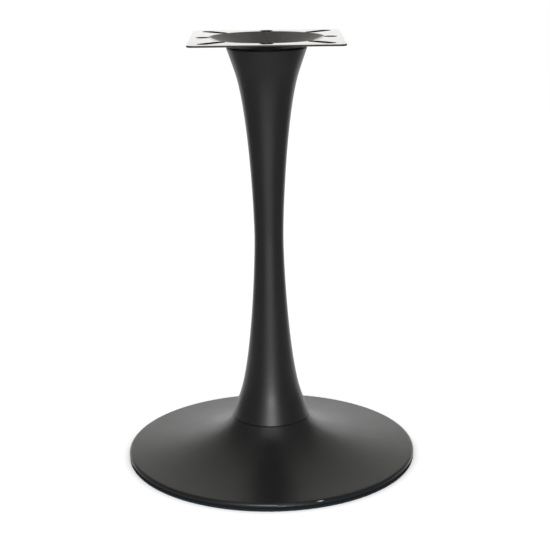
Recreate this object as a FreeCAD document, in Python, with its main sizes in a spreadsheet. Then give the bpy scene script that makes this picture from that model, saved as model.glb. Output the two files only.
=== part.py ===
# Tulip table base: cast trumpet foot, hourglass column and pressed top plate, clamped by a tie rod.
# Millimetres and degrees. +Z is up, and the origin is on the floor at the middle of the foot.
import FreeCAD, Part
import math
import os
import re
import Sketcher

# Driving dimensions
SIZES = {
    # Whole base
    "total_height": 726.5,
    "foot_radius": 250.0,
    "seam_height": 71.3,
    # Rubber ring under the rim
    "ring_height": 6.8,
    "ring_width": 14.0,
    "ring_recess": 0.3,
    "ring_round": 1.0,
    "ring_lip": 4.6,
    "ring_inset": 2.4,
    # Cast foot
    "rim_thickness": 7.0,
    "rim_round": 5.0,
    "rim_break": 0.8,
    "rim_margin": 10.0,
    "neck_step": 0.6,
    "neck_break": 1.2,
    "neck_lean": 30.0,
    "neck_reach": 34.0,
    "disc_slope": 4.5,
    "disc_reach": 110.0,
    "cast_wall": 7.0,
    "web_drop": 2.0,
    "boss_depth": 12.0,
    "boss_margin": 5.5,
    "spigot_height": 10.0,
    "spigot_gap": 0.3,
    "rib_thickness": 6.0,
    "rib_count": 6,
    "rib_bite": 1.5,
    "rib_rise": 3.0,
    "rib_knee_radius": 76.0,
    "rib_knee_height": 16.0,
    "rib_floor_gap": 1.5,
    # Hourglass column
    "column_end_radius": 66.9,
    "column_wall": 2.5,
    "column_break": 1.5,
    "waist_radius": 24.7,
    "waist_reach": 52.0,
    "cone_lean": 18.9,
    "cone_height": 38.6,
    "cone_reach": 64.0,
    # Pressed top plate
    "plate_side": 250.0,
    "plate_round": 10.0,
    "plate_edge": 0.8,
    "plate_sheet": 3.0,
    "plate_standoff": 15.7,
    "dish_round": 9.0,
    "dish_lean": 68.3,
    "dish_depth": 30.0,
    "dish_corner": 8.0,
    "dish_flange": 3.0,
    "seat_gap": 0.1,
    "slot_bite": 1.5,
    "slot_margin": 22.0,
    "slot_width": 20.0,
    "hole_margin": 9.4,
    "hole_radius": 11.2,
    # Tie rod and fasteners
    "rod_radius": 5.9,
    "rod_gap": 1.1,
    "rod_chamfer": 1.2,
    "rod_stub": 4.0,
    "nut_gap": 0.1,
    "nut_wall": 3.5,
    "nut_height": 10.0,
    "nut_chamfer": 0.5,
    "nut_chamfer_lean": 30.0,
    "washer_gap": 0.6,
    "washer_width": 12.0,
    "washer_thickness": 3.0,
    "lock_gap": 0.2,
    "lock_width": 4.4,
    "lock_thickness": 2.5,
    "lock_slit": 1.5,
}

# Heights and radii worked out from the driving dimensions
COLUMN_TOP = "(total_height - plate_standoff)"
WAIST_HEIGHT = f"((seam_height + {COLUMN_TOP}) / 2)"
CONE_RADIUS = "(column_end_radius - cone_height * tan(cone_lean))"
NECK_RADIUS = "(column_end_radius + neck_step)"
RIM_TOP = "(ring_height + rim_thickness)"
DISC_EDGE = "(foot_radius - rim_round)"
RING_OUTER = "(foot_radius - ring_recess)"
RIM_INNER = "(foot_radius - ring_recess - ring_width - rim_margin)"
ROD_PASSAGE = "(rod_radius + rod_gap)"
NUT_BORE = "(rod_radius + nut_gap)"
NUT_HALF = f"({NUT_BORE} + nut_wall)"
WASHER_BORE = "(rod_radius + washer_gap)"
WASHER_RADIUS = f"({WASHER_BORE} + washer_width)"
LOCK_BORE = "(rod_radius + lock_gap)"
LOCK_RADIUS = f"({LOCK_BORE} + lock_width)"
SPIGOT_TOP = "(seam_height + spigot_height)"
SPIGOT_RADIUS = "(column_end_radius - column_wall - spigot_gap)"
WEB_BOTTOM = "(seam_height - web_drop)"
BOSS_BOTTOM = f"({WEB_BOTTOM} - boss_depth)"
BOSS_RADIUS = f"({WASHER_RADIUS} + boss_margin)"
PLATE_UNDER = "(total_height - plate_sheet)"
DISH_FLOOR = "(total_height - dish_depth)"
SEAT_RADIUS = "(column_end_radius - column_wall - seat_gap)"
BEND_HEIGHT = f"({PLATE_UNDER} - dish_round)"
BEND_RADIUS = (
    f"({SEAT_RADIUS} + dish_round * cos(dish_lean)"
    f" + ({BEND_HEIGHT} + dish_round * sin(dish_lean) - {COLUMN_TOP}) * tan(dish_lean))"
)
PLATE_CORNER = "((plate_side / 2 - plate_round) * sqrt(2) + plate_round)"
HOLE_PLACE = "(plate_side / 2 - hole_margin - hole_radius)"
SLOT_INNER = f"({BEND_RADIUS} - slot_bite)"
SLOT_OUTER = f"({PLATE_CORNER} - slot_margin)"
CORNER_HEIGHT = f"({DISH_FLOOR} + dish_corner)"
CORNER_RADIUS = (
    f"({SEAT_RADIUS} - (dish_corner + plate_sheet) * cos(dish_lean)"
    f" + ({CORNER_HEIGHT} - (dish_corner + plate_sheet) * sin(dish_lean) - {COLUMN_TOP}) * tan(dish_lean))"
)
TOP_WASHER_HEIGHT = DISH_FLOOR
TOP_LOCK_HEIGHT = f"({TOP_WASHER_HEIGHT} + washer_thickness)"
TOP_NUT_HEIGHT = f"({TOP_LOCK_HEIGHT} + lock_thickness)"
ROD_TOP = f"({TOP_NUT_HEIGHT} + nut_height + rod_stub)"
BOTTOM_WASHER_HEIGHT = f"({BOSS_BOTTOM} - washer_thickness)"
BOTTOM_LOCK_HEIGHT = f"({BOTTOM_WASHER_HEIGHT} - lock_thickness)"
BOTTOM_NUT_HEIGHT = f"({BOTTOM_LOCK_HEIGHT} - nut_height)"
ROD_BOTTOM = f"({BOTTOM_NUT_HEIGHT} - rod_stub)"

# A square plate has a slot at each corner and a hole at each side
PLATE_SIDES = "4"

# Turning senses of an arc on its way from one corner of an outline to the next
ANTICLOCKWISE = True
CLOCKWISE = False

doc = FreeCAD.newDocument("tulip_table_base")


def make_sheet():
    """Spreadsheet with one named cell for each driving dimension."""
    sheet = doc.addObject("Spreadsheet::Sheet", "sizes")
    for row, (alias, size) in enumerate(SIZES.items(), start=1):
        sheet.set(f"A{row}", alias)
        sheet.set(f"B{row}", str(size))
        sheet.setAlias(f"B{row}", alias)
    doc.recompute()
    return sheet


sizes = make_sheet()


def value(text):
    """Number that a formula of named sizes gives."""
    return float(sizes.evalExpression(text))


def bound(text):
    """The formula as another object writes it, with each size read from the spreadsheet."""
    return re.sub("[a-z_]+", lambda word: f"sizes.{word[0]}" if word[0] in SIZES else word[0], text)


def new_body(name):
    body = doc.addObject("PartDesign::Body", name)
    body.Label = name
    return body


def new_sketch(body, name, role, height="0", turn=0):
    """Sketch on one of the body's own origin planes, raised and turned about that plane's normal."""
    plane = next(feature for feature in body.Origin.OriginFeatures if feature.Role == role)
    sketch = body.newObject("Sketcher::SketchObject", f"{body.Name}_{name}_sketch")
    sketch.AttachmentSupport = [(plane, "")]
    sketch.MapMode = "FlatFace"
    sketch.AttachmentOffset = FreeCAD.Placement(FreeCAD.Vector(), FreeCAD.Rotation(turn, 0, 0))
    sketch.setExpression("AttachmentOffset.Base.z", bound(height))
    return sketch


def constrain(sketch, kind, places, text):
    """Dimension of a sketch, bound to a formula."""
    index = sketch.addConstraint(Sketcher.Constraint(kind, *places, value(text)))
    sketch.setExpression(f"Constraints[{index}]", bound(text))


def fix_point(sketch, edge, end, across, up):
    """Holds one end of an edge at its distances from the sketch's origin."""
    constrain(sketch, "DistanceX", (-1, 1, edge, end), across)
    constrain(sketch, "DistanceY", (-1, 1, edge, end), up)


def point(across, up):
    return FreeCAD.Vector(value(across), value(up), 0)


def arc_between(start, end, radius, anticlockwise):
    """The shorter arc of a radius between two points."""
    chord = end - start
    middle = (start + end) * 0.5
    rise = math.sqrt(radius ** 2 - (chord.Length / 2) ** 2)
    side = FreeCAD.Vector(-chord.y, chord.x, 0).normalize()
    centre = middle + side * (rise if anticlockwise else -rise)
    circle = Part.Circle(centre, FreeCAD.Vector(0, 0, 1), radius)
    first, last = (start, end) if anticlockwise else (end, start)
    return Part.ArcOfCircle(circle, circle.parameter(first), circle.parameter(last))


def cubic_curve(poles):
    curve = Part.BSplineCurve()
    curve.buildFromPolesMultsKnots(poles, (4, 4), (0.0, 1.0), False, 3)
    return curve


def hold_handles(sketch, edge, poles, handles):
    """Ties a curve's two inner control points to their formulas."""
    control_circle = 1.0
    circles = []
    for number, pole in enumerate(poles):
        circle = sketch.addGeometry(Part.Circle(pole, FreeCAD.Vector(0, 0, 1), control_circle), True)
        kind = "InternalAlignment:Sketcher::BSplineControlPoint"
        sketch.addConstraint(Sketcher.Constraint(kind, circle, 3, edge, number))
        circles.append(circle)
    sketch.addConstraint(Sketcher.Constraint("Weight", circles[0], 1.0))
    for circle in circles[1:]:
        sketch.addConstraint(Sketcher.Constraint("Equal", circles[0], circle))
    for circle, (across, up) in zip(circles[1:3], handles):
        fix_point(sketch, circle, 3, across, up)


def line(across, up):
    """Corner of an outline that a straight edge leaves."""
    return {"kind": "line", "at": (across, up)}


def arc(across, up, radius, anticlockwise):
    """Corner of an outline that an arc leaves."""
    return {"kind": "arc", "at": (across, up), "radius": radius, "anticlockwise": anticlockwise}


def curve(across, up, *handles):
    """Corner of an outline that a cubic curve with two handles leaves."""
    return {"kind": "curve", "at": (across, up), "handles": handles}


def draw(sketch, corners):
    """Closed outline, with every corner, radius and handle bound to its formula."""
    points = [point(*corner["at"]) for corner in corners]
    edges = []
    for number, corner in enumerate(corners):
        start = points[number]
        end = points[(number + 1) % len(points)]
        first, last = 1, 2
        if corner["kind"] == "line":
            edge = sketch.addGeometry(Part.LineSegment(start, end), False)
        elif corner["kind"] == "arc":
            shape = arc_between(start, end, value(corner["radius"]), corner["anticlockwise"])
            edge = sketch.addGeometry(shape, False)
            constrain(sketch, "Radius", (edge,), corner["radius"])
            if not corner["anticlockwise"]:
                first, last = 2, 1
        else:
            poles = [start, *(point(*handle) for handle in corner["handles"]), end]
            edge = sketch.addGeometry(cubic_curve(poles), False)
            hold_handles(sketch, edge, poles, corner["handles"])
        edges.append((edge, first, last))
    for number, (edge, first, last) in enumerate(edges):
        following, following_first, _ = edges[(number + 1) % len(edges)]
        sketch.addConstraint(Sketcher.Constraint("Coincident", edge, last, following, following_first))
        fix_point(sketch, edge, first, *corners[number]["at"])
    if sketch.solve() != 0:
        raise RuntimeError(f"{sketch.Name} doesn't solve")


def draw_circle(sketch, across, up, radius):
    centre = point(across, up)
    edge = sketch.addGeometry(Part.Circle(centre, FreeCAD.Vector(0, 0, 1), value(radius)), False)
    fix_point(sketch, edge, 3, across, up)
    constrain(sketch, "Radius", (edge,), radius)


def revolve(body, name, corners):
    """Solid turned about the vertical axis from an outline of radius and height."""
    sketch = new_sketch(body, name, "XZ_Plane")
    draw(sketch, corners)
    solid = body.newObject("PartDesign::Revolution", f"{body.Name}_{name}")
    solid.Profile = sketch
    solid.ReferenceAxis = (sketch, ["V_Axis"])
    solid.Angle = 360
    doc.recompute()
    return solid


def groove(body, name, corners):
    """Ring of material turned away about the vertical axis."""
    before = body.Shape.Volume
    sketch = new_sketch(body, name, "XZ_Plane")
    draw(sketch, corners)
    cut = body.newObject("PartDesign::Groove", f"{body.Name}_{name}")
    cut.Profile = sketch
    cut.ReferenceAxis = (sketch, ["V_Axis"])
    cut.Angle = 360
    doc.recompute()
    check_removed(name, before, body.Shape.Volume)
    return cut


def pad(body, name, sketch, length):
    solid = body.newObject("PartDesign::Pad", f"{body.Name}_{name}")
    solid.Profile = sketch
    solid.setExpression("Length", bound(length))
    doc.recompute()
    return solid


def pocket_through(body, name, sketch):
    """Cut down from the sketch through everything below it."""
    before = body.Shape.Volume
    cut = body.newObject("PartDesign::Pocket", f"{body.Name}_{name}")
    cut.Profile = sketch
    cut.Type = "ThroughAll"
    doc.recompute()
    check_removed(name, before, body.Shape.Volume)
    return cut


def check_removed(name, before, after):
    if after >= before:
        raise RuntimeError(f"{name} removed nothing")


def round_outline(body, name, feature, beyond, radius):
    """Rounds the level edges that lie further out than a distance from the vertical axis."""
    level = 0.001
    edges = []
    for number, edge in enumerate(feature.Shape.Edges, start=1):
        centre = edge.CenterOfMass
        if edge.BoundBox.ZLength < level and math.hypot(centre.x, centre.y) > value(beyond):
            edges.append(f"Edge{number}")
    fillet = body.newObject("PartDesign::Fillet", f"{body.Name}_{name}")
    fillet.Base = (feature, edges)
    fillet.setExpression("Radius", bound(radius))
    doc.recompute()
    return fillet


def repeat_round_axis(body, name, feature, axis, count):
    """Copies of a feature, evenly spaced about the vertical axis."""
    pattern = body.newObject("PartDesign::PolarPattern", f"{body.Name}_{name}")
    pattern.Originals = [feature]
    pattern.Axis = (feature.Profile[0], [axis])
    pattern.Angle = 360
    pattern.setExpression("Occurrences", bound(count))
    body.Tip = pattern
    doc.recompute()
    return pattern


def stand_at(body, height):
    """Puts a body that is drawn from height zero at its own height."""
    body.setExpression("Placement.Base.z", bound(height))
    doc.recompute()


# Outer skin of the foot, from the neck to the disc's edge, as a start, two handles and an end
FLARE_OUTSIDE = [
    (NECK_RADIUS, "(seam_height - neck_break)"),
    (f"({NECK_RADIUS} + neck_reach * sin(neck_lean))", "(seam_height - neck_reach * cos(neck_lean))"),
    (f"({DISC_EDGE} - disc_reach * cos(disc_slope))", f"({RIM_TOP} + disc_reach * sin(disc_slope))"),
    (DISC_EDGE, RIM_TOP),
]
# Skin of the hollow under it, a wall's thickness inside
FLARE_INSIDE = [
    (f"({NECK_RADIUS} - cast_wall)", WEB_BOTTOM),
    (
        f"({FLARE_OUTSIDE[1][0]} - cast_wall * cos(neck_lean))",
        f"({FLARE_OUTSIDE[1][1]} - cast_wall * sin(neck_lean))",
    ),
    (f"({FLARE_OUTSIDE[2][0]} - cast_wall)", f"({FLARE_OUTSIDE[2][1]} - cast_wall)"),
    (RIM_INNER, "ring_height"),
]
# Line half way through the wall, where the ribs end
FLARE_MIDDLE = [
    (f"(({outside[0]} + {inside[0]}) / 2)", f"(({outside[1]} + {inside[1]}) / 2)")
    for outside, inside in zip(FLARE_OUTSIDE, FLARE_INSIDE)
]


def make_foot():
    """Hollow casting with a spigot for the column and a boss for the tie rod."""
    body = new_body("foot")
    spigot_tip = f"({SPIGOT_RADIUS} - spigot_height * tan(cone_lean))"
    revolve(body, "casting", [
        line(SPIGOT_RADIUS, "seam_height"),
        line(f"({NECK_RADIUS} - neck_break)", "seam_height"),
        curve(*FLARE_OUTSIDE[0], FLARE_OUTSIDE[1], FLARE_OUTSIDE[2]),
        arc(*FLARE_OUTSIDE[3], "rim_round", CLOCKWISE),
        line("foot_radius", f"({RIM_TOP} - rim_round)"),
        line("foot_radius", "(ring_height + rim_break)"),
        line("(foot_radius - rim_break)", "ring_height"),
        curve(*FLARE_INSIDE[3], FLARE_INSIDE[2], FLARE_INSIDE[1]),
        line(*FLARE_INSIDE[0]),
        line(BOSS_RADIUS, WEB_BOTTOM),
        line(BOSS_RADIUS, BOSS_BOTTOM),
        line(ROD_PASSAGE, BOSS_BOTTOM),
        line(ROD_PASSAGE, SPIGOT_TOP),
        line(spigot_tip, SPIGOT_TOP),
    ])
    sketch = new_sketch(body, "rib", "XZ_Plane")
    rib_floor = "(ring_height + rib_floor_gap)"
    rib_root = f"({BOSS_RADIUS} - rib_bite)"
    draw(sketch, [
        curve(*FLARE_MIDDLE[3], FLARE_MIDDLE[2], FLARE_MIDDLE[1]),
        line(*FLARE_MIDDLE[0]),
        line(rib_root, FLARE_MIDDLE[0][1]),
        line(rib_root, f"({BOSS_BOTTOM} + rib_rise)"),
        line("rib_knee_radius", "rib_knee_height"),
        line(RIM_INNER, rib_floor),
    ])
    rib = pad(body, "rib", sketch, "rib_thickness")
    rib.SideType = "Symmetric"
    doc.recompute()
    repeat_round_axis(body, "ribs", rib, "V_Axis", "rib_count")
    return body


def make_floor_ring():
    """Rubber ring under the rim, on which the base stands, with a lip below a shadow gap."""
    body = new_body("floor_ring")
    inner = f"({RING_OUTER} - ring_width)"
    inset = f"({RING_OUTER} - ring_inset)"
    revolve(body, "ring", [
        line(inner, "0"),
        arc(f"({RING_OUTER} - ring_round)", "0", "ring_round", ANTICLOCKWISE),
        line(RING_OUTER, "ring_round"),
        arc(RING_OUTER, "(ring_lip - ring_round)", "ring_round", ANTICLOCKWISE),
        line(f"({RING_OUTER} - ring_round)", "ring_lip"),
        line(inset, "ring_lip"),
        line(inset, "ring_height"),
        line(inner, "ring_height"),
    ])
    return body


def make_column():
    """Spun tube: a cone at each end and a smooth curve to the waist half way up."""
    body = new_body("column")
    low_cone = "(seam_height + cone_height)"
    high_cone = f"({COLUMN_TOP} - cone_height)"
    handle_radius = f"({CONE_RADIUS} - cone_reach * sin(cone_lean))"
    handle_rise = "cone_reach * cos(cone_lean)"
    low_handle = (handle_radius, f"({low_cone} + {handle_rise})")
    low_waist = ("waist_radius", f"({WAIST_HEIGHT} - waist_reach)")
    high_waist = ("waist_radius", f"({WAIST_HEIGHT} + waist_reach)")
    high_handle = (handle_radius, f"({high_cone} - {handle_rise})")
    broken_edge = "(column_end_radius - column_break * tan(cone_lean))"

    def inside(place):
        return f"({place[0]} - column_wall)", place[1]

    revolve(body, "tube", [
        line("(column_end_radius - column_break)", "seam_height"),
        line(broken_edge, "(seam_height + column_break)"),
        curve(CONE_RADIUS, low_cone, low_handle, low_waist),
        curve("waist_radius", WAIST_HEIGHT, high_waist, high_handle),
        line(CONE_RADIUS, high_cone),
        line(broken_edge, f"({COLUMN_TOP} - column_break)"),
        line("(column_end_radius - column_break)", COLUMN_TOP),
        line(*inside(("column_end_radius", COLUMN_TOP))),
        curve(*inside((CONE_RADIUS, high_cone)), inside(high_handle), inside(high_waist)),
        curve(*inside(("waist_radius", WAIST_HEIGHT)), inside(low_waist), inside(low_handle)),
        line(*inside((CONE_RADIUS, low_cone))),
        line(*inside(("column_end_radius", "seam_height"))),
    ])
    return body


def dish_corner_point(radius):
    """Where the dish's bottom bend, of a radius, meets its leaning wall."""
    across = f"({CORNER_RADIUS} + {radius} * cos(dish_lean))"
    return across, f"({CORNER_HEIGHT} - {radius} * sin(dish_lean))"


def dish_rim_point(radius):
    """Where the dish's rim bend, of a radius, meets its leaning wall."""
    across = f"({BEND_RADIUS} - {radius} * cos(dish_lean))"
    return across, f"({BEND_HEIGHT} + {radius} * sin(dish_lean))"


def make_top_plate():
    """Square sheet with a shallow dish on the column's mouth, and slots and holes that cut the dish's rim."""
    body = new_body("top_plate")
    outer_corner = "(dish_corner + plate_sheet)"
    outer_round = "(dish_round + plate_sheet)"
    flange = f"({BEND_RADIUS} + dish_flange)"
    revolve(body, "dish", [
        line(ROD_PASSAGE, DISH_FLOOR),
        arc(CORNER_RADIUS, DISH_FLOOR, "dish_corner", ANTICLOCKWISE),
        line(*dish_corner_point("dish_corner")),
        arc(*dish_rim_point(outer_round), outer_round, CLOCKWISE),
        line(BEND_RADIUS, "total_height"),
        line(flange, "total_height"),
        line(flange, PLATE_UNDER),
        arc(BEND_RADIUS, PLATE_UNDER, "dish_round", ANTICLOCKWISE),
        line(*dish_rim_point("dish_round")),
        arc(*dish_corner_point(outer_corner), outer_corner, CLOCKWISE),
        line(CORNER_RADIUS, f"({DISH_FLOOR} - plate_sheet)"),
        line(ROD_PASSAGE, f"({DISH_FLOOR} - plate_sheet)"),
    ])
    sheet = new_sketch(body, "sheet", "XY_Plane", height=PLATE_UNDER)
    half = "(plate_side / 2)"
    straight = "(plate_side / 2 - plate_round)"
    draw(sheet, [
        line(f"-{straight}", f"-{half}"),
        arc(straight, f"-{half}", "plate_round", ANTICLOCKWISE),
        line(half, f"-{straight}"),
        arc(half, straight, "plate_round", ANTICLOCKWISE),
        line(straight, half),
        arc(f"-{straight}", half, "plate_round", ANTICLOCKWISE),
        line(f"-{half}", straight),
        arc(f"-{half}", f"-{straight}", "plate_round", ANTICLOCKWISE),
    ])
    draw_circle(sheet, "0", "0", f"({BEND_RADIUS} + dish_flange / 2)")
    plate = pad(body, "sheet", sheet, "plate_sheet")
    round_outline(body, "edge", plate, straight, "plate_edge")
    diagonal = 45
    slot = new_sketch(body, "slot", "XY_Plane", height="total_height", turn=diagonal)
    slot_half = "(slot_width / 2)"
    near_centre = f"({SLOT_INNER} + {slot_half})"
    far_centre = f"({SLOT_OUTER} - {slot_half})"
    draw(slot, [
        line(near_centre, f"-{slot_half}"),
        arc(far_centre, f"-{slot_half}", slot_half, ANTICLOCKWISE),
        arc(SLOT_OUTER, "0", slot_half, ANTICLOCKWISE),
        line(far_centre, slot_half),
        arc(near_centre, slot_half, slot_half, ANTICLOCKWISE),
        arc(SLOT_INNER, "0", slot_half, ANTICLOCKWISE),
    ])
    repeat_round_axis(body, "slots", pocket_through(body, "slot", slot), "N_Axis", PLATE_SIDES)
    hole = new_sketch(body, "hole", "XY_Plane", height="total_height")
    draw_circle(hole, HOLE_PLACE, "0", "hole_radius")
    repeat_round_axis(body, "holes", pocket_through(body, "hole", hole), "N_Axis", PLATE_SIDES)
    return body


def make_tie_rod():
    """Rod on the axis with chamfered ends, at its thread's outer size."""
    body = new_body("tie_rod")
    tip = "(rod_radius - rod_chamfer)"
    revolve(body, "rod", [
        line("0", ROD_BOTTOM),
        line(tip, ROD_BOTTOM),
        line("rod_radius", f"({ROD_BOTTOM} + rod_chamfer)"),
        line("rod_radius", f"({ROD_TOP} - rod_chamfer)"),
        line(tip, ROD_TOP),
        line("0", ROD_TOP),
    ])
    return body


def make_washer(name, height):
    """Wide flat washer."""
    body = new_body(name)
    revolve(body, "disc", [
        line(WASHER_BORE, "0"),
        line(WASHER_RADIUS, "0"),
        line(WASHER_RADIUS, "washer_thickness"),
        line(WASHER_BORE, "washer_thickness"),
    ])
    stand_at(body, height)
    return body


def make_lock_washer(name, height):
    """Split spring washer, pressed flat."""
    body = new_body(name)
    revolve(body, "coil", [
        line(LOCK_BORE, "0"),
        line(LOCK_RADIUS, "0"),
        line(LOCK_RADIUS, "lock_thickness"),
        line(LOCK_BORE, "lock_thickness"),
    ])
    slit = new_sketch(body, "slit", "XY_Plane", height="lock_thickness")
    half_slit = "(lock_slit / 2)"
    slit_start = f"({LOCK_BORE} / 2)"
    slit_end = f"({LOCK_RADIUS} + lock_slit)"
    draw(slit, [
        line(slit_start, f"-{half_slit}"),
        line(slit_end, f"-{half_slit}"),
        line(slit_end, half_slit),
        line(slit_start, half_slit),
    ])
    pocket_through(body, "slit", slit)
    stand_at(body, height)
    return body


def make_nut(name, height):
    """Hexagon nut with a turned chamfer on both faces."""
    body = new_body(name)
    sketch = new_sketch(body, "hexagon", "XY_Plane")
    sides = 6
    corner = f"{NUT_HALF} / cos({180 / sides})"
    turns = [side * 360 / sides for side in range(sides)]
    draw(sketch, [line(f"({corner} * cos({turn}))", f"({corner} * sin({turn}))") for turn in turns])
    draw_circle(sketch, "0", "0", NUT_BORE)
    pad(body, "hexagon", sketch, "nut_height")
    face = f"({NUT_HALF} - nut_chamfer)"
    outside = f"({NUT_HALF} + nut_wall)"
    drop = f"(({outside} - {face}) * tan(nut_chamfer_lean))"
    groove(body, "upper_chamfer", [
        line(face, "nut_height"),
        line(outside, f"(nut_height - {drop})"),
        line(outside, "nut_height"),
    ])
    groove(body, "lower_chamfer", [
        line(face, "0"),
        line(outside, "0"),
        line(outside, drop),
    ])
    stand_at(body, height)
    return body


def check(bodies):
    """Stops if any object of the document failed, or a piece isn't one sound solid."""
    for item in doc.Objects:
        if "Invalid" in item.State or "Error" in item.State:
            raise RuntimeError(f"{item.Name} failed: {item.State}")
    for body in bodies:
        shape = body.Shape
        if shape.isNull() or not shape.isValid() or len(shape.Solids) != 1:
            raise RuntimeError(f"{body.Label} isn't one sound solid")


def write(bodies):
    os.makedirs("parts", exist_ok=True)
    for body in bodies:
        body.Shape.exportStep(f"parts/{body.Label}.step")
        box = body.Shape.BoundBox
        print(f"{body.Label:20s} {body.Shape.Volume:9.0f} mm3, z {box.ZMin:.2f} to {box.ZMax:.2f}")


def main():
    bodies = [
        make_foot(),
        make_floor_ring(),
        make_column(),
        make_top_plate(),
        make_tie_rod(),
        make_washer("top_washer", TOP_WASHER_HEIGHT),
        make_lock_washer("top_lock_washer", TOP_LOCK_HEIGHT),
        make_nut("top_nut", TOP_NUT_HEIGHT),
        make_washer("bottom_washer", BOTTOM_WASHER_HEIGHT),
        make_lock_washer("bottom_lock_washer", BOTTOM_LOCK_HEIGHT),
        make_nut("bottom_nut", BOTTOM_NUT_HEIGHT),
    ]
    doc.recompute()
    check(bodies)
    write(bodies)


main()
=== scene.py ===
# Looks of the tulip table base: powder-coated foot and column, pressed plate, rubber ring
# and zinc-plated fasteners.
# Metres and degrees. The frame holds the solids, and every piece here sits on them.
import math

import bpy
from mathutils import Matrix, Vector


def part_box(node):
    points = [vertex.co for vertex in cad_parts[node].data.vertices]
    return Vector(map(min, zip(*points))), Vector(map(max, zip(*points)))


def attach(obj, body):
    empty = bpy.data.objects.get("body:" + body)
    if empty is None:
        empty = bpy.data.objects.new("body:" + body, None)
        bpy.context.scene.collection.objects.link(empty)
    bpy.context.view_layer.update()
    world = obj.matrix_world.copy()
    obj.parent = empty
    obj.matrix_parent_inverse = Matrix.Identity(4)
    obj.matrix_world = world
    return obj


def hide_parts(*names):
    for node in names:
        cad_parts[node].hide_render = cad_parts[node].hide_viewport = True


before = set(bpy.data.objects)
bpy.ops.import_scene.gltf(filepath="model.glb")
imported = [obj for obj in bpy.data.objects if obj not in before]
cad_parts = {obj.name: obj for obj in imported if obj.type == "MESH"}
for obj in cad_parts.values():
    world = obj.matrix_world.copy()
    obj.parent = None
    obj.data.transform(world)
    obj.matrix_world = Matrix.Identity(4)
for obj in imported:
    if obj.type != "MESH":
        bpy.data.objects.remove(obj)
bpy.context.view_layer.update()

# Camera, at the photograph's place and angle
CAMERA_PLACE = (0.0, -2.2508, 0.9528)
CAMERA_YAW = 0.2426
CAMERA_PITCH = 15.628
CAMERA_ROLL = 0.6438
FOCAL_PIXELS = 1366.4
PHOTO_PIXELS = 550
SENSOR_WIDTH = 36.0

# Floor and surroundings
FLOOR_SIDE = 30.0
FLOOR_COLOUR = (1.0, 1.0, 1.0, 1.0)
WORLD_COLOUR = (1.0, 1.0, 1.0, 1.0)
WORLD_STRENGTH = 1.0

# Softbox in front
SOFTBOX_PLACE = (0.05, -3.2, 1.15)
SOFTBOX_AIM = (0.0, 0.0, 0.35)
SOFTBOX_SIZE = (1.4, 1.3)
SOFTBOX_POWER = 55.0
SOFTBOX_COLOUR = (0.97, 0.975, 1.0)

# Low, wide panel behind
PANEL_PLACE = (0.0, 3.5, 1.05)
PANEL_AIM = (0.0, 0.0, 0.5)
PANEL_SIZE = (5.0, 0.35)
PANEL_POWER = 3.6
PANEL_COLOUR = (1.0, 0.965, 0.91)

# Cards that show in the gloss
SIDE_CARD_DISTANCE = 0.75
SIDE_CARD_FRONT = -1.25
SIDE_CARD_BACK = 0.6
SIDE_CARD_HEIGHT = 2.4
SIDE_CARD_COLOUR = (0.16, 0.16, 0.16, 1.0)
BACK_CARD_DISTANCE = 3.0
BACK_CARD_BOTTOM = 1.35
BACK_CARD_TOP = 3.8
BACK_CARD_WIDTH = 8.0
BACK_CARD_COLOUR = (0.41, 0.40, 0.375, 1.0)
CEILING_FRONT = -1.2
CEILING_COLOUR = (0.255, 0.25, 0.235, 1.0)
# Grey ring on the floor in front of the foot, seen only in the gloss: painted shade of the floor near the
# rim and beyond
FLOOR_CARD_INNER = 0.252
FLOOR_CARD_OUTER = 1.7
FLOOR_PAINTED_SHADE_COLOUR = (0.34, 0.34, 0.34, 1.0)
FLOOR_CARD_START = 195.0
FLOOR_CARD_END = 345.0
FLOOR_CARD_STEPS = 48
FLOOR_CARD_LIFT = 0.0005

# Base colours; two colours are the ends between which a finish varies
FOOT_COLOURS = ((0.0068, 0.0068, 0.0069, 1.0), (0.0082, 0.0082, 0.0083, 1.0))
COLUMN_COLOURS = ((0.0075, 0.0075, 0.008, 1.0), (0.009, 0.009, 0.0095, 1.0))
# The ring's blue tint is painted reflection of the light in front; the rubber itself is black
RING_COLOURS_PAINTED_BLUE = ((0.005, 0.009, 0.013, 1.0), (0.007, 0.012, 0.017, 1.0))
ZINC_COLOURS = ((0.36, 0.36, 0.355, 1.0), (0.44, 0.445, 0.46, 1.0))
PLATE_COLOUR = (0.005, 0.005, 0.0052, 1.0)
# Lighter colour on the plate's faces that look up: painted light from above
UPWARD_PAINTED_LIGHT_COLOUR = (0.032, 0.0315, 0.0295, 1.0)
SAWN_COLOUR = (0.02, 0.018, 0.016, 1.0)
CHIP_COLOUR = (0.28, 0.28, 0.27, 1.0)

# Roughness, lowest and highest, and refraction
FOOT_ROUGHNESS = (0.29, 0.33)
COLUMN_ROUGHNESS = (0.33, 0.37)
PLATE_ROUGHNESS = (0.09, 0.13)
ZINC_ROUGHNESS = (0.28, 0.42)
RING_ROUGHNESS = 0.8
FOOT_IOR = 1.475
COLUMN_IOR = 1.425
PLATE_IOR = 1.4
RING_IOR = 1.33

# Noise patterns: scale, detail and roughness of the noise
COAT_TONE = (9.0, 3.0, 0.5)
COAT_SHEEN = (22.0, 4.0, 0.6)
FOOT_GRAIN = (700.0, 2.0, 0.5)
COLUMN_GRAIN = (1100.0, 2.0, 0.5)
PLATE_SHEEN = (40.0, 3.0, 0.6)
RING_TONE = (30.0, 3.0, 0.5)
RING_GRAIN = (500.0, 2.0, 0.5)
ZINC_FILM = (120.0, 3.0, 0.5)
ZINC_SHEEN = (400.0, 3.0, 0.5)
ZINC_GRAIN = (1500.0, 2.0, 0.5)
NOISE_MIDDLE = (0.3, 0.7)

# Depths of the grain
COAT_GRAIN_DEPTH = 0.00002
RING_GRAIN_DEPTH = 0.00005
ZINC_GRAIN_DEPTH = 0.00002

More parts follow.
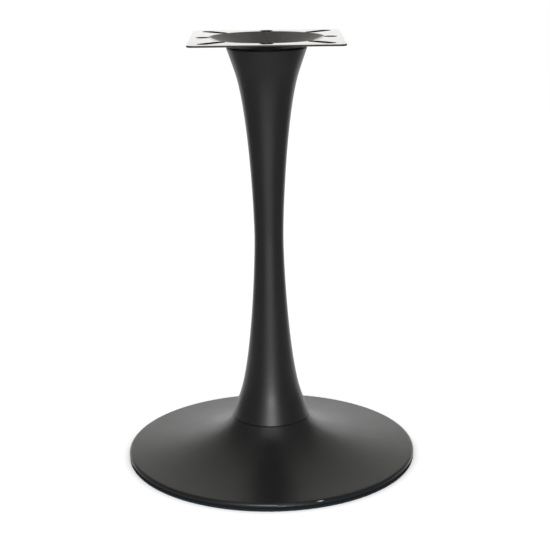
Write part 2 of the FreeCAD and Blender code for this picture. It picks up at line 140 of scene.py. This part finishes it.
# Upward share of the normal from which a face counts as level, and at which it fully does
# Span over which the plate's upward faces are painted lighter: painted light from above
PAINTED_LIGHT_RISE = (0.5, 0.9)
SAWN_RISE = (0.9, 0.98)

# Chip in the coat of the rim: place, turn about the axis, half sizes and the share that is fully bare
CHIP_PLACE = (0.0775, -0.2368, 0.0117)
CHIP_TURN = 18.1
CHIP_HALF = (0.0085, 0.0014, 0.0010)
CHIP_BARE = 0.7

# Thread of the tie rod; its wave is made steeper and shifted, which leaves a flat crest and root
THREAD_PITCH = 0.00175
THREAD_DEPTH = 0.0009
THREAD_TOP = 0.040
THREAD_BOTTOM = 0.060
THREAD_STEPS = 8
FLANK_STEEPNESS = 1.4
FLANK_SHIFT = 0.2
ROD_SIDES = 48
ROD_CHAMFER = 0.0012


def feed(tree, socket, source):
    """Links an input to another node's output, or sets its value."""
    if isinstance(source, bpy.types.NodeSocket):
        tree.links.new(source, socket)
    else:
        socket.default_value = source


def add_node(tree, kind, inputs=None, **settings):
    """Node of a material, with its settings and its inputs linked or set."""
    node = tree.nodes.new(kind)
    for name, setting in settings.items():
        setattr(node, name, setting)
    for name, source in (inputs or {}).items():
        feed(tree, node.inputs[name], source)
    return node


def new_material(name, **sockets):
    """Principled material whose even values are set on the shader's own sockets."""
    material = bpy.data.materials.new(name)
    material.use_nodes = True
    for socket, setting in sockets.items():
        shader_input(material, socket.replace("_", " ")).default_value = setting
    return material


def shader_input(material, name):
    return material.node_tree.nodes["Principled BSDF"].inputs[name]


def object_place(tree):
    """Place on the surface, in the piece's own coordinates."""
    return add_node(tree, "ShaderNodeTexCoord").outputs["Object"]


def noise(tree, pattern):
    """Noise value of a pattern on the piece."""
    scale, detail, roughness = pattern
    inputs = {"Vector": object_place(tree), "Scale": scale, "Detail": detail, "Roughness": roughness}
    return add_node(tree, "ShaderNodeTexNoise", inputs).outputs["Fac"]


def remap(tree, source, before, after, interpolation="LINEAR"):
    """Maps a value from one range to another, and stops at the ends."""
    inputs = {
        "Value": source,
        "From Min": before[0],
        "From Max": before[1],
        "To Min": after[0],
        "To Max": after[1],
    }
    node = add_node(tree, "ShaderNodeMapRange", inputs, interpolation_type=interpolation)
    return node.outputs["Result"]


def smooth_step(tree, source, span):
    """Smooth step from nought to one over a span of the value."""
    return remap(tree, source, span, (0.0, 1.0), "SMOOTHSTEP")


def calculate(tree, operation, *sources):
    """Result of an operation on one or two values."""
    return add_node(tree, "ShaderNodeMath", dict(enumerate(sources)), operation=operation).outputs["Value"]


def blend_colours(tree, factor, first, second):
    node = add_node(tree, "ShaderNodeMix", {"Factor": factor}, data_type="RGBA")
    colour_a, colour_b = [socket for socket in node.inputs if socket.type == "RGBA"]
    feed(tree, colour_a, first)
    feed(tree, colour_b, second)
    return next(socket for socket in node.outputs if socket.type == "RGBA")


def rise(tree):
    """Upward share of the surface's normal."""
    normal = add_node(tree, "ShaderNodeNewGeometry").outputs["Normal"]
    return add_node(tree, "ShaderNodeSeparateXYZ", {"Vector": normal}).outputs["Z"]


def vary_colour(material, pattern, colours):
    """Base colour that drifts between two colours."""
    tree = material.node_tree
    colour = blend_colours(tree, noise(tree, pattern), *colours)
    feed(tree, shader_input(material, "Base Color"), colour)


def vary_sheen(material, pattern, limits):
    """Roughness that varies between two limits."""
    tree = material.node_tree
    sheen = remap(tree, noise(tree, pattern), NOISE_MIDDLE, limits)
    feed(tree, shader_input(material, "Roughness"), sheen)


def add_grain(material, pattern, depth):
    """Fine grain of the surface, as a bump of a given depth."""
    tree = material.node_tree
    inputs = {"Height": noise(tree, pattern), "Distance": depth, "Strength": 1.0}
    normal = add_node(tree, "ShaderNodeBump", inputs).outputs["Normal"]
    feed(tree, shader_input(material, "Normal"), normal)


def cover_colour(material, share, colour):
    """Covers the base colour with another one where the share is one."""
    tree = material.node_tree
    base = shader_input(material, "Base Color")
    feed(tree, base, blend_colours(tree, share, base.links[0].from_socket, colour))


def powder_coat(name, colours, roughness, grain, ior):
    """Satin black powder coat: fine grain, and slow changes of tone and sheen."""
    material = new_material(name, IOR=ior)
    vary_colour(material, COAT_TONE, colours)
    vary_sheen(material, COAT_SHEEN, roughness)
    add_grain(material, grain, COAT_GRAIN_DEPTH)
    return material


def chip_coat(material):
    """Bare spot on the rim where the coat is chipped."""
    tree = material.node_tree
    inputs = {
        "Vector": object_place(tree),
        "Location": CHIP_PLACE,
        "Rotation": (0.0, 0.0, math.radians(CHIP_TURN)),
        "Scale": CHIP_HALF,
    }
    local = add_node(tree, "ShaderNodeMapping", inputs, vector_type="TEXTURE").outputs["Vector"]
    reach = add_node(tree, "ShaderNodeVectorMath", {0: local}, operation="LENGTH").outputs["Value"]
    cover_colour(material, remap(tree, reach, (CHIP_BARE, 1.0), (1.0, 0.0)), CHIP_COLOUR)


def foot_material():
    material = powder_coat("foot_powder_coat", FOOT_COLOURS, FOOT_ROUGHNESS, FOOT_GRAIN, FOOT_IOR)
    chip_coat(material)
    return material


def column_material():
    return powder_coat("column_powder_coat", COLUMN_COLOURS, COLUMN_ROUGHNESS, COLUMN_GRAIN, COLUMN_IOR)


def plate_material():
    """Thin, glossy black coat on the pressed plate, painted lighter on the faces that look up: painted light
    from above.
    """
    material = new_material("plate_powder_coat", IOR=PLATE_IOR)
    tree = material.node_tree
    # Faces that look up get the lighter colour: painted light from above
    painted_light = smooth_step(tree, rise(tree), PAINTED_LIGHT_RISE)
    feed(tree, shader_input(material, "Base Color"), blend_colours(tree, painted_light, PLATE_COLOUR, UPWARD_PAINTED_LIGHT_COLOUR))
    vary_sheen(material, PLATE_SHEEN, PLATE_ROUGHNESS)
    return material


def rubber_material():
    """Dull black rubber, tinted blue in its colour as painted reflection of the light in front."""
    material = new_material("ring_rubber", Roughness=RING_ROUGHNESS, IOR=RING_IOR)
    vary_colour(material, RING_TONE, RING_COLOURS_PAINTED_BLUE)
    add_grain(material, RING_GRAIN, RING_GRAIN_DEPTH)
    return material


def zinc_material(name):
    """Dull zinc plating with a faint warm and blue passivated film."""
    material = new_material(name, Metallic=1.0)
    vary_colour(material, ZINC_FILM, ZINC_COLOURS)
    vary_sheen(material, ZINC_SHEEN, ZINC_ROUGHNESS)
    add_grain(material, ZINC_GRAIN, ZINC_GRAIN_DEPTH)
    return material


def rod_material():
    """Zinc plating on the thread, and sawn ends that are dark and dull."""
    material = zinc_material("rod_zinc_plating")
    tree = material.node_tree
    sawn = smooth_step(tree, calculate(tree, "ABSOLUTE", rise(tree)), SAWN_RISE)
    feed(tree, shader_input(material, "Metallic"), calculate(tree, "SUBTRACT", 1.0, sawn))
    cover_colour(material, sawn, SAWN_COLOUR)
    sheen = shader_input(material, "Roughness")
    feed(tree, sheen, calculate(tree, "MAXIMUM", sheen.links[0].from_socket, sawn))
    return material


def paint(node, material):
    """Gives a solid of the frame its finish."""
    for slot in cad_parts[node].material_slots:
        slot.material = material


def mesh_object(name, points, faces, material):
    mesh = bpy.data.meshes.new(name)
    mesh.from_pydata(points, [], faces)
    mesh.update()
    mesh.materials.append(material)
    piece = bpy.data.objects.new(name, mesh)
    bpy.context.scene.collection.objects.link(piece)
    return piece


def thread_radius(radius, height, turn):
    """Radius of a thread with a flat crest and root at a height and a share of a turn."""
    wave = (height / THREAD_PITCH - turn) % 1.0
    slope = abs(2.0 * wave - 1.0)
    cut = min(max(FLANK_STEEPNESS * slope - FLANK_SHIFT, 0.0), 1.0)
    return radius - THREAD_DEPTH * cut


def rod_heights(low, high):
    """Heights of the rod's rings on the lower and the upper thread, with none on the plain shank between."""
    spacing = THREAD_PITCH / THREAD_STEPS
    below = [low + spacing * number for number in range(round(THREAD_BOTTOM / spacing) + 1)]
    above = [high - spacing * number for number in range(round(THREAD_TOP / spacing) + 1)]
    return below, above[::-1]


def rod_points(low, high):
    """Rings of points up the rod: chamfered ends, threads, and a full radius at the shank's ends."""
    radius = (high.x - low.x) / 2
    below, above = rod_heights(low.z, high.z)
    shank_ends = (below[-1], above[0])
    points = []
    for height in below + above:
        to_end = min(height - low.z, high.z - height)
        limit = radius - max(ROD_CHAMFER - to_end, 0.0)
        for side in range(ROD_SIDES):
            turn = side / ROD_SIDES
            threaded = radius if height in shank_ends else thread_radius(radius, height, turn)
            reach = min(threaded, limit)
            angle = 2 * math.pi * turn
            points.append((reach * math.cos(angle), reach * math.sin(angle), height))
    return points


def rod_faces(count):
    """Faces between the rings of a number of points, and one face on each end."""
    faces = []
    for first in range(0, count - ROD_SIDES, ROD_SIDES):
        second = first + ROD_SIDES
        for side in range(ROD_SIDES):
            following = (side + 1) % ROD_SIDES
            faces.append((first + side, first + following, second + following, second + side))
    faces.append(tuple(reversed(range(ROD_SIDES))))
    faces.append(tuple(range(count - ROD_SIDES, count)))
    return faces


def make_tie_rod(material):
    """Rod with a thread cut at both ends, in the place of the plain one."""
    low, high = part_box("tie_rod")
    points = rod_points(low, high)
    rod = mesh_object("threaded_tie_rod", points, rod_faces(len(points)), material)
    for polygon in rod.data.polygons:
        polygon.use_smooth = len(polygon.vertices) < ROD_SIDES
    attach(rod, "root")
    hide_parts("tie_rod")


def finish_surfaces():
    zinc = zinc_material("zinc_plating")
    paint("foot", foot_material())
    paint("column", column_material())
    paint("top_plate", plate_material())
    paint("floor_ring", rubber_material())
    for place in ("top", "bottom"):
        for piece in ("washer", "lock_washer", "nut"):
            paint(f"{place}_{piece}", zinc)
    make_tie_rod(rod_material())


def level(left, right, front, back, height):
    """Corners of a level rectangle."""
    return [(left, front, height), (right, front, height), (right, back, height), (left, back, height)]


def upright(ends, low, high):
    """Corners of an upright card between two ends on the floor."""
    (x0, y0), (x1, y1) = ends
    return [(x0, y0, low), (x1, y1, low), (x1, y1, high), (x0, y0, high)]


def make_floor():
    half = FLOOR_SIDE / 2
    material = new_material("pale_floor", Base_Color=FLOOR_COLOUR, Roughness=1.0, Specular_IOR_Level=0.0)
    mesh_object("floor", level(-half, half, -half, half, 0.0), [(0, 1, 2, 3)], material)


def make_card(name, corners, colour, faces=((0, 1, 2, 3),)):
    """Grey card of the studio, seen only in the object's gloss."""
    material = new_material(name, Base_Color=colour, Roughness=1.0)
    card = mesh_object(name, corners, faces, material)
    card.visible_camera = False
    card.visible_diffuse = False
    card.visible_transmission = False
    card.visible_shadow = False


def make_side_cards():
    for name, across in (("left_card", -SIDE_CARD_DISTANCE), ("right_card", SIDE_CARD_DISTANCE)):
        ends = (across, SIDE_CARD_FRONT), (across, SIDE_CARD_BACK)
        make_card(name, upright(ends, 0.0, SIDE_CARD_HEIGHT), SIDE_CARD_COLOUR)


def make_back_cards():
    """Card behind the object and a ceiling card that comes forward from its top."""
    half = BACK_CARD_WIDTH / 2
    ends = (-half, BACK_CARD_DISTANCE), (half, BACK_CARD_DISTANCE)
    make_card("back_card", upright(ends, BACK_CARD_BOTTOM, BACK_CARD_TOP), BACK_CARD_COLOUR)
    ceiling = level(-half, half, CEILING_FRONT, BACK_CARD_DISTANCE, BACK_CARD_TOP)
    make_card("ceiling_card", ceiling, CEILING_COLOUR)


def make_floor_card():
    """Grey part of a ring on the floor in front of the foot: painted shade of the floor, seen only in the
    gloss.
    """
    start = math.radians(FLOOR_CARD_START)
    sweep = math.radians(FLOOR_CARD_END - FLOOR_CARD_START)
    points = []
    for number in range(FLOOR_CARD_STEPS + 1):
        angle = start + sweep * number / FLOOR_CARD_STEPS
        for radius in (FLOOR_CARD_INNER, FLOOR_CARD_OUTER):
            points.append((radius * math.cos(angle), radius * math.sin(angle), FLOOR_CARD_LIFT))
    faces = [(first, first + 1, first + 3, first + 2) for first in range(0, 2 * FLOOR_CARD_STEPS, 2)]
    make_card("floor_card", points, FLOOR_PAINTED_SHADE_COLOUR, faces)


def make_lamp(name, place, target, size, power, colour):
    """Soft rectangular lamp, out of the camera's sight."""
    lamp = bpy.data.lights.new(name, "AREA")
    lamp.shape = "RECTANGLE"
    lamp.size, lamp.size_y = size
    lamp.energy = power
    lamp.color = colour
    holder = bpy.data.objects.new(name, lamp)
    holder.location = place
    aim = Vector(target) - Vector(place)
    holder.rotation_euler = aim.to_track_quat("-Z", "Y").to_euler()
    holder.visible_camera = False
    bpy.context.scene.collection.objects.link(holder)


def make_world():
    world = bpy.data.worlds.new("studio")
    world.use_nodes = True
    background = world.node_tree.nodes["Background"]
    background.inputs["Color"].default_value = WORLD_COLOUR
    background.inputs["Strength"].default_value = WORLD_STRENGTH
    bpy.context.scene.world = world


def make_camera():
    camera = bpy.data.cameras.new("camera")
    camera.sensor_width = SENSOR_WIDTH
    camera.lens = SENSOR_WIDTH * FOCAL_PIXELS / PHOTO_PIXELS
    holder = bpy.data.objects.new("camera", camera)
    yaw = Matrix.Rotation(math.radians(-CAMERA_YAW), 4, "Z")
    pitch = Matrix.Rotation(math.radians(90 - CAMERA_PITCH), 4, "X")
    roll = Matrix.Rotation(math.radians(-CAMERA_ROLL), 4, "Z")
    holder.matrix_world = Matrix.Translation(CAMERA_PLACE) @ yaw @ pitch @ roll
    bpy.context.scene.collection.objects.link(holder)
    bpy.context.scene.camera = holder


def make_studio():
    make_floor()
    make_side_cards()
    make_back_cards()
    make_floor_card()
    make_lamp("softbox", SOFTBOX_PLACE, SOFTBOX_AIM, SOFTBOX_SIZE, SOFTBOX_POWER, SOFTBOX_COLOUR)
    make_lamp("back_panel", PANEL_PLACE, PANEL_AIM, PANEL_SIZE, PANEL_POWER, PANEL_COLOUR)
    make_world()
    make_camera()
    bpy.context.scene.view_settings.view_transform = "Standard"


finish_surfaces()
make_studio()
